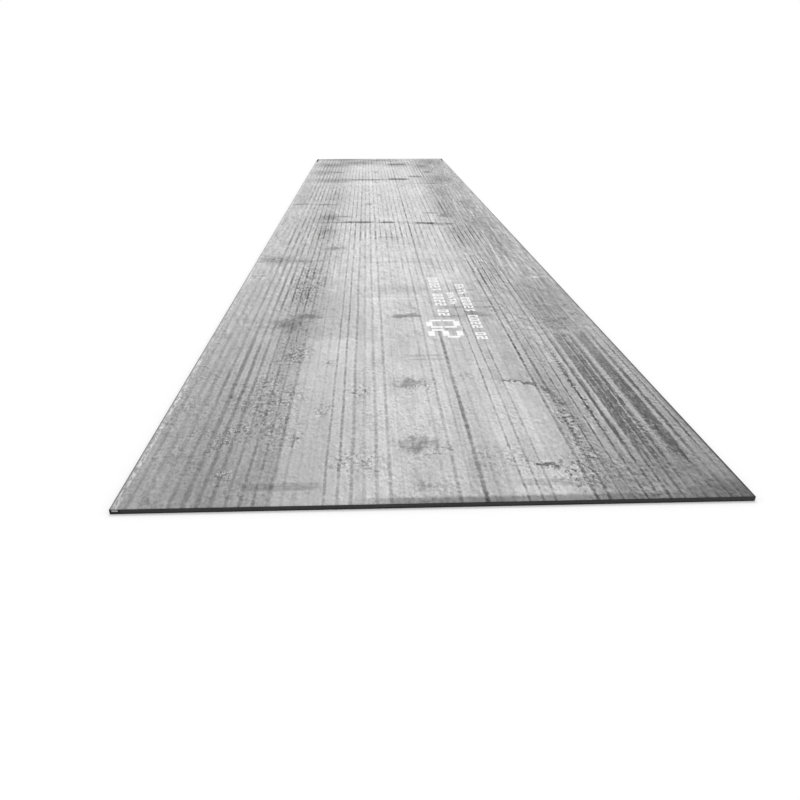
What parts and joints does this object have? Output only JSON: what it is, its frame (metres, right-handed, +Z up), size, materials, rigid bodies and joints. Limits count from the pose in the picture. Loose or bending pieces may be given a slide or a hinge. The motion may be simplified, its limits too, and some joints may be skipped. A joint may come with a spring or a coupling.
{
  "type": "steel plate",
  "caption": "Flat rectangular hot-rolled steel plate with sheared edges and streaked mill scale, raw stock for cutting and welding.",
  "frame": {"origin": "centre of the underside, on the floor that the plate lies on", "axes": "+Z up through the thickness, +Y along the length (the rolling direction) from the near end to the far end, +X across the width"},
  "size_m": [2.2, 12, 0.02],
  "materials": {
    "mill_scale_steel": "as rolled: grey mill scale with lengthwise streaks, satin"
  },
  "bodies": {
    "root": {"steel_plate": "mill_scale_steel"}
  },
  "joints": []
}
